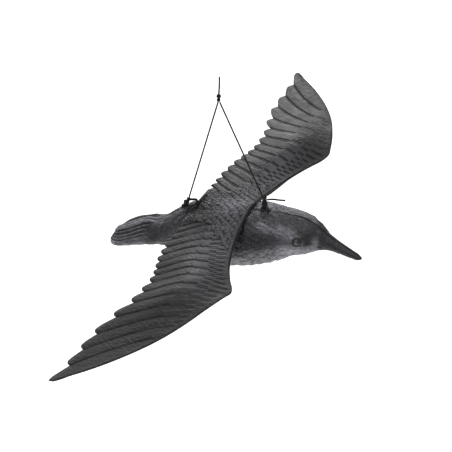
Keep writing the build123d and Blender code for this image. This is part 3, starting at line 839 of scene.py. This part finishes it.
def body_form():
    """The bare half body as grids of x, angle, y and z, and each section's own sizes as columns."""
    x = np.concatenate([
        np.linspace(BODY_FROM, TAIL_COLUMNS_TO, TAIL_COLUMNS, endpoint=False),
        np.linspace(TAIL_COLUMNS_TO, BODY_TO, BODY_COLUMNS - TAIL_COLUMNS),
    ])[:, None]
    rise = np.linspace(-1.0, 1.0, BODY_ROWS)
    at, *sizes = BODY_SECTIONS.T
    ridge_z, half_width, half_height = (curve_at(at, size, x) for size in sizes)
    centre_z = ridge_z - half_height
    back = np.clip((TAIL_END_CENTRE - x) / TAIL_END_LENGTH, 0.0, 1.0)
    end_width = TAIL_END_HALF_WIDTH * np.sqrt(np.maximum(1.0 - back ** 2, 0.0))
    half_width = np.where(x < TAIL_END_CENTRE, np.minimum(half_width, end_width), half_width)
    half_height = half_height * (1.0 - 0.35 * step(-80.0, -112.0, x)) * np.maximum(1.0 - back ** 6, 0.12)
    boxy = 0.25 * step(-55.0, -95.0, x)
    x = np.repeat(x, BODY_ROWS, 1)
    angle = np.repeat(((np.pi / 2) * (1.25 * rise - 0.25 * rise ** 3))[None, :], len(x), 0)
    y = half_width * np.abs(np.cos(angle)) ** (1.0 - boxy - 0.42 * spot((x, 45.0, 26.0)) * (angle > 0.0))
    z = centre_z + half_height * np.sin(angle)
    return x, angle, y, z, half_width, half_height, centre_z, back


def body_relief(x, angle):
    """Relief of the scale feathers: height, groove as painted shade under each scale's edge, ridge as painted
    highlight along it, and the barbs' running number.
    """
    lengths = table_at(SCALE_LENGTH, x)
    line = np.linspace(-130.0, 160.0, 581)
    along = np.interp(x, line, np.cumsum(0.5 / table_at(SCALE_LENGTH, line)))
    turn = (np.pi / 2 - angle) / np.pi
    wave = noise(np.stack([x, turn * 90.0], -1), 26.0, 21)
    front, place, behind = scales(along + 0.30 * wave, turn * SCALES_ROUND_HALF + 0.35 * wave)
    amount = table_at(SCALE_AMOUNT, x) * (1.0 + 0.5 * step(0.45, 0.9, turn))
    lift = 1.1 * amount * (1.0 - front) * step(0.0, 0.12, front) + 0.4 * amount * np.cos(np.pi * place)
    # Painted shade under each scale's edge, strongest over the back, and a painted highlight along the edge.
    groove = np.clip(amount * (0.48 + 0.5 * step(0.5, 0.1, turn)), 0, 1)
    groove = groove * near(np.maximum(behind * 2.0 * lengths - 0.3, 0.0), 0.55)
    ridge = np.clip(amount, 0, 1) * 0.8 * near((front - 0.06) * 2.0 * lengths, 0.6)
    barb = (x * 0.9 + 1.2 * np.abs(place) * lengths) / 1.2
    return lift, groove, ridge, barb


def tail_relief(x, y, angle, half_width, back):
    """Relief and tone of the tail: a raised middle feather over long ones that fan out under it, with painted
    shade between the feathers and in a hollow, and painted highlights on the feathers' edges, along the
    middle and near the outer edge.
    """
    share = y / np.maximum(half_width, 0.5)
    edges = np.array(TAIL_EDGES)
    index = np.clip((edges[:, None, None] < share[None]).sum(0), 0, len(edges) - 1)
    outer = edges[index]
    inner = np.concatenate([[0.0], edges])[index]
    cross = (outer - share) / (outer - inner)
    width = (outer - inner) * half_width
    fringe = cross * width
    lift = 0.8 * (1.0 - cross) * step(0.0, 0.6, fringe) + 0.25 * np.sin(np.pi * cross)
    lift = lift + 0.25 * near((cross - 0.5) * width, 0.4) + 1.5 * (index == 0) * step(0.0, 1.2, fringe)
    lift = lift + 3.2 * (1.0 - np.clip(share, 0.0, 1.0)) ** 1.4 * (angle > 0.0) * (1.0 - back ** 2)
    # Painted shade in the hollow beside the raised middle.
    hollow = band(share, 0.13, 0.26, 0.60, 0.84) * (angle > 0.0)
    groove = near(np.maximum((share - inner) * half_width - 0.3, 0.0), 0.9) * (index > 0)
    ridge = near(np.maximum(fringe - 0.4, 0.0), 0.6)
    barb = (x * 0.8 + np.abs(cross - 0.5) * width) / 1.3
    # Painted highlight along the middle and near the outer edge, painted shade in the hollow.
    tone = 0.62 * (1.0 - step(0.12, 0.24, share)) * (angle > 0.3) * step(-60.0, -76.0, x)
    tone = tone - hollow * step(-70.0, -84.0, x) + 0.30 * step(0.84, 0.94, share) * step(-68.0, -84.0, x)
    return lift, np.maximum(groove, hollow), ridge, barb, tone


def head_relief(x, angle, z, arc):
    """Lift of the hair-fine head, cheek and bristles, grooves before the eye and at the mouth with painted
    shade in them, and tone: painted highlights on the mound at the bill's base, the cheek and the throat,
    painted shade before the eye.
    """
    strokes = np.stack([x * 0.28, arc], -1)
    hair = 0.13 * noise(strokes, 1.7, 31) + 0.10 * noise(strokes, 3.3, 32)
    bristles = np.sin(arc * 2.2 + 0.5 * noise(strokes, 8.0, 33))
    cheek = spot((x, 84.0, 9.0), (z, -157.0, 7.0))
    lore = spot((x, 100.5, 3.6), (z, -150.5, 6.0))
    mound = spot((x, 108.0, 4.2), (z, -154.0, 5.0))
    throat = spot((x, 84.0, 16.0), (z, -164.0, 7.0))
    gape = z - (-158.6 - 0.395 * (x - 112.0))
    slit = near(gape, 0.35) * band(x, 104.0, 110.0, 146.0, 151.0) * (np.cos(angle) > 0.1)
    lift = band(x, 62.0, 84.0, 106.0, 111.0) * hair + 0.9 * cheek - 0.9 * lore + 0.8 * mound
    lift = lift + 0.28 * band(x, 99.0, 104.0, 112.0, 116.0) * bristles - 0.75 * slit
    # Painted shade before the eye and in the mouth; painted highlights on the mound, cheek and throat.
    return lift, 0.32 * lore, slit, 0.50 * mound + 0.30 * cheek + 0.30 * throat - 0.2 * lore


def painted_body_light(x, angle, side):
    """Painted light and shade on the body: painted reflection underneath and on the left of the crown, a
    painted highlight along the neck, painted shadow on the flank.
    """
    wander = 0.10 * noise(np.stack([x, angle * 28.0], -1), 15.0, 41)
    low = step(0.24, -0.22, angle - wander) * step(-70.0, -20.0, x)
    neck = spot((angle - 0.97 + 0.010 * (x - 50.0) - wander, 0.0, 0.22)) * band(x, 42.0, 56.0, 84.0, 94.0)
    flank = spot((x, 50.0, 14.0), (angle, 0.48, 0.28))
    crown = (side > 0.0) * step(0.9, 1.2, angle) * band(x, 30.0, 50.0, 98.0, 108.0)
    return 0.40 * low + 0.46 * neck - 0.45 * flank + 0.35 * crown


def rim_shade(x, y, z):
    """Shade where the wing plate's front rim meets the back."""
    edge = front_edge(y)
    rim_foot = plate_height(edge, y) - np.interp(y, PLATE_ACROSS[:, 0], PLATE_ACROSS[:, 3])
    return near(np.maximum(x - edge - 0.9, 0.0), 0.5) * (x - edge > -4.0) * step(-7.0, -3.0, z - rim_foot)


def outward(base, centre_z):
    """Unit normals of a grid of points, all turned away from the middle of their sections."""
    normal = np.cross(np.gradient(base, axis=1), np.gradient(base, axis=0))
    normal = normal / np.maximum(np.linalg.norm(normal, axis=-1, keepdims=True), 1e-9)
    centre = base * (1.0, 0.0, 0.0)
    centre[..., 2] = centre_z
    return normal * np.median(np.sign((normal * (base - centre)).sum(-1)))


def make_eye(surface, outer, layers):
    """Pushes a polished dome, in a dark ring inside a raised lid, out of the outer part of a shell. The ring
    has painted shade, the dome a painted highlight at its middle.
    """
    away = np.sqrt((surface[..., 0] - EYE_PLACE[0]) ** 2 + (surface[..., 2] - EYE_PLACE[2]) ** 2)
    dome = EYE_PLACE[1] + np.sqrt(np.maximum(EYE_RADIUS ** 2 - away ** 2, 0.0))
    ring = spot((away, 3.9, 0.6)) * outer
    raised = np.where((away < 3.5) & outer, np.maximum(surface[..., 1], dome), surface[..., 1])
    surface[..., 1] = raised - 0.6 * ring + 0.35 * spot((away, 5.0, 0.8)) * outer
    groove, ridge, barb, tone = layers
    inside = (away < 3.4) & outer
    # Painted shade in the ring, a painted highlight in the middle of the dome.
    groove = np.where(inside, 0.0, np.maximum(groove, 0.75 * ring))
    tone = np.where(inside, 0.22 - 0.30 * step(1.2, 2.6, away), tone)
    return groove, np.where(inside, -1.0, ridge), np.where(inside, 0.0, barb), tone


def make_body(name, side, node):
    """One body shell: half the ring of each section, from the belly's seam up to the back's."""
    x, angle, y, z, half_width, half_height, centre_z, back = body_form()
    arc = (np.pi / 2 - angle) * (0.5 * (half_width + half_height))
    lift, groove, ridge, barb = body_relief(x, angle)

    tail = step(-68.0, -84.0, x)
    tail_lift, tail_groove, tail_ridge, tail_barb, tail_tone = tail_relief(x, y, angle, half_width, back)
    lift = blended(lift, tail_lift, tail)
    groove = blended(groove, tail_groove, tail)
    ridge = blended(ridge, tail_ridge, tail)
    barb = np.where(tail > 0.5, tail_barb, barb)

    beak = step(108.0, 113.0, x)
    head_lift, lore, slit, head_tone = head_relief(x, angle, z, arc)
    lift = lift + head_lift
    groove = np.maximum(blended(np.maximum(groove, lore), 0.25, beak), slit)
    groove = np.maximum(groove, rim_shade(x, y, z) * (angle > 0.0))
    ridge = blended(ridge, 0.25 * near(angle - np.pi / 2, 0.25), beak)
    # Painted light and shade of the tail, the head and the body, with none on the beak.
    tone = np.clip(tail_tone + head_tone + painted_body_light(x, angle, side), -1.0, 1.0) * (1.0 - beak)

    rough = np.stack([x, arc + 40.0 * side], -1)
    lift = lift + 0.14 * noise(rough, 7.0, 35)
    lift = lift + 0.45 * noise(rough, 13.0, 36) * (1.0 - beak) * (1.0 - 0.65 * tail)
    groove = np.maximum(groove, near(np.maximum(y - 0.5, 0.0), 0.4))
    lift = lift * step(0.0, 1.5, y) - 0.8 * near(y, 0.5)
    base = np.stack([x, y, z], -1)
    surface = base + outward(base, centre_z) * (lift - 0.35)[..., None]
    layers = np.stack(make_eye(surface, y > 5.0, (groove, ridge, barb, tone)), -1).reshape(-1, 4)
    surface[:, (0, -1), 1] = 0.0
    surface[..., 1] = np.maximum(surface[..., 1], 0.0) * side

    turn = 1 if side > 0 else -1
    vertices = surface.reshape(-1, 3)
    faces = grid_faces(len(x), BODY_ROWS)[:, ::turn].tolist()
    faces.append((np.arange(BODY_ROWS) + (len(x) - 1) * BODY_ROWS)[::-turn].tolist())
    faces.append(np.arange(BODY_ROWS)[::turn].tolist())
    for centre, length, height in ((FRONT_LUG, 9.0, 7.0), (REAR_LUG, 8.0, 8.0)):
        tab, tab_faces = lug_half(centre, length, height, side)
        faces += [tuple(len(vertices) + v for v in f) for f in tab_faces]
        vertices = np.concatenate([vertices, tab])
        layers = np.concatenate([layers, np.tile([[0.1, 0.25, 0.0, 0.0]], (len(tab), 1))])
    piece = new_piece(name, vertices * MM, faces, body_material)
    paint(piece, layers)
    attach(piece, "decoy")
    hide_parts(node)


LUG_HALF_WIDTH, LUG_CORNER, LUG_BELOW_SLOT, SLOT_WIDTH, SLOT_END_WALL = 1.3, 2.4, 1.0, 2.4, 1.5


def rounded_loop(length, height, corner, count=64):
    """Points round a rectangle with rounded corners, evenly spread by angle."""
    angles = np.linspace(0.0, 2.0 * np.pi, count, endpoint=False) + 1e-3
    points = []
    for angle in angles:
        low, high = 0.0, length + height
        for _ in range(40):
            reach = (low + high) / 2.0
            px, pz = abs(reach * math.cos(angle)), abs(reach * math.sin(angle))
            out_x, out_z = px - (length / 2 - corner), pz - (height / 2 - corner)
            outside = math.hypot(max(out_x, 0.0), max(out_z, 0.0)) > corner or max(out_x, out_z) > corner
            low, high = (low, reach) if outside else (reach, high)
        points.append((low * math.cos(angle), low * math.sin(angle)))
    return np.array(points)


def lug_half(centre, length, height, side):
    """Half of a slotted tab, with eased edges."""
    slot = rounded_loop(length - 2 * SLOT_END_WALL, SLOT_WIDTH, SLOT_WIDTH / 2 - 0.001)
    outer = rounded_loop(length, height, LUG_CORNER) - (0.0, LUG_BELOW_SLOT)
    rings = []
    for loop, grow, y in (
        (slot, 0.0, 0.05), (slot, 0.0, 0.9), (slot, 0.12, 1.15), (slot, 0.3, LUG_HALF_WIDTH),
        (outer, -0.4, LUG_HALF_WIDTH), (outer, -0.12, 1.18), (outer, 0.0, 0.85), (outer, 0.0, 0.05),
    ):
        middle = loop.mean(0)
        away = loop - middle
        grown = middle + away * (1.0 + grow / np.linalg.norm(away, axis=1)[:, None])
        level = np.full(len(loop), y * side)
        rings.append(np.stack([grown[:, 0] + centre[0], level, grown[:, 1] + centre[1]], -1))
    vertices = np.concatenate(rings)
    count = len(slot)
    faces = []
    for ring in range(len(rings) - 1):
        here, there = ring * count, (ring + 1) * count
        for k in range(count):
            after = (k + 1) % count
            quad = (here + k, there + k, there + after, here + after)
            faces.append(quad if side < 0 else quad[::-1])
    return vertices, faces


make_body("body_left", 1.0, "body_shell_left")
make_body("body_right", -1.0, "body_shell_right")


# ---------------------------------------------------------------- studio
FLOOR_REACH, FLOOR_NEAR_EDGE, FLOOR_LEVEL = 6.0, -0.38, -0.62
WHITE = (1.0, 1.0, 1.0, 1.0)


def make_floor():
    """A pale floor under the decoy. It ends near the bird, which keeps it out of the near flank's gloss."""
    mesh = bpy.data.meshes.new("floor")
    corners = [
        (-FLOOR_REACH, FLOOR_NEAR_EDGE, FLOOR_LEVEL), (FLOOR_REACH, FLOOR_NEAR_EDGE, FLOOR_LEVEL),
        (FLOOR_REACH, FLOOR_REACH, FLOOR_LEVEL), (-FLOOR_REACH, FLOOR_REACH, FLOOR_LEVEL),
    ]
    mesh.from_pydata(corners, [], [(0, 1, 2, 3)])
    paper = Nodes("floor_paper")
    mottle = paper.mix(paper.clouds(3.0, 2.0), (0.90, 0.90, 0.90, 1.0), (0.93, 0.93, 0.93, 1.0))
    paper.shade("Base Color", mottle)
    paper.shade("Roughness", 0.9)
    paper.shade("Emission Color", WHITE)
    paper.shade("Emission Strength", 0.85)
    mesh.materials.append(paper.material)
    floor = bpy.data.objects.new("floor", mesh)
    bpy.context.scene.collection.objects.link(floor)


def make_sky():
    """White to the camera, dim to the decoy."""
    world = bpy.data.worlds.new("studio")
    world.use_nodes = True
    tree = world.node_tree
    soft = tree.nodes["Background"]
    soft.inputs["Color"].default_value = WHITE
    soft.inputs["Strength"].default_value = 0.16
    seen = tree.nodes.new("ShaderNodeBackground")
    seen.inputs["Color"].default_value = WHITE
    path = tree.nodes.new("ShaderNodeLightPath")
    mix = tree.nodes.new("ShaderNodeMixShader")
    tree.links.new(path.outputs["Is Camera Ray"], mix.inputs[0])
    tree.links.new(soft.outputs[0], mix.inputs[1])
    tree.links.new(seen.outputs[0], mix.inputs[2])
    tree.links.new(mix.outputs[0], tree.nodes["World Output"].inputs["Surface"])
    bpy.context.scene.world = world
    bpy.context.scene.view_settings.view_transform = "Standard"


def make_lights():
    """Four soft rectangles: over the decoy, behind it, at its far side and in front."""
    for name, place, aim, size, power in (
        ("overhead", (0.2, 0.3, 2.3), (0.1, 0.2, -0.2), (3.0, 3.0), 32.0),
        ("backdrop", (-1.7, 2.6, 0.10), (0.0, 0.1, -0.15), (3.6, 0.7), 15.0),
        ("far_key", (-0.61, 1.04, 0.34), (0.0, 0.1, -0.15), (0.36, 0.28), 2.2),
        ("key", (-0.15, -1.55, 1.20), (0.05, 0.0, -0.15), (0.6, 0.45), 9.0),
    ):
        data = bpy.data.lights.new(name, "AREA")
        data.shape = "RECTANGLE"
        data.size, data.size_y = size
        data.energy = power
        light = bpy.data.objects.new(name, data)
        light.location = place
        light.rotation_mode = "QUATERNION"
        light.rotation_quaternion = (Vector(aim) - Vector(place)).to_track_quat("-Z", "Y")
        bpy.context.scene.collection.objects.link(light)


make_floor()
make_sky()
make_lights()
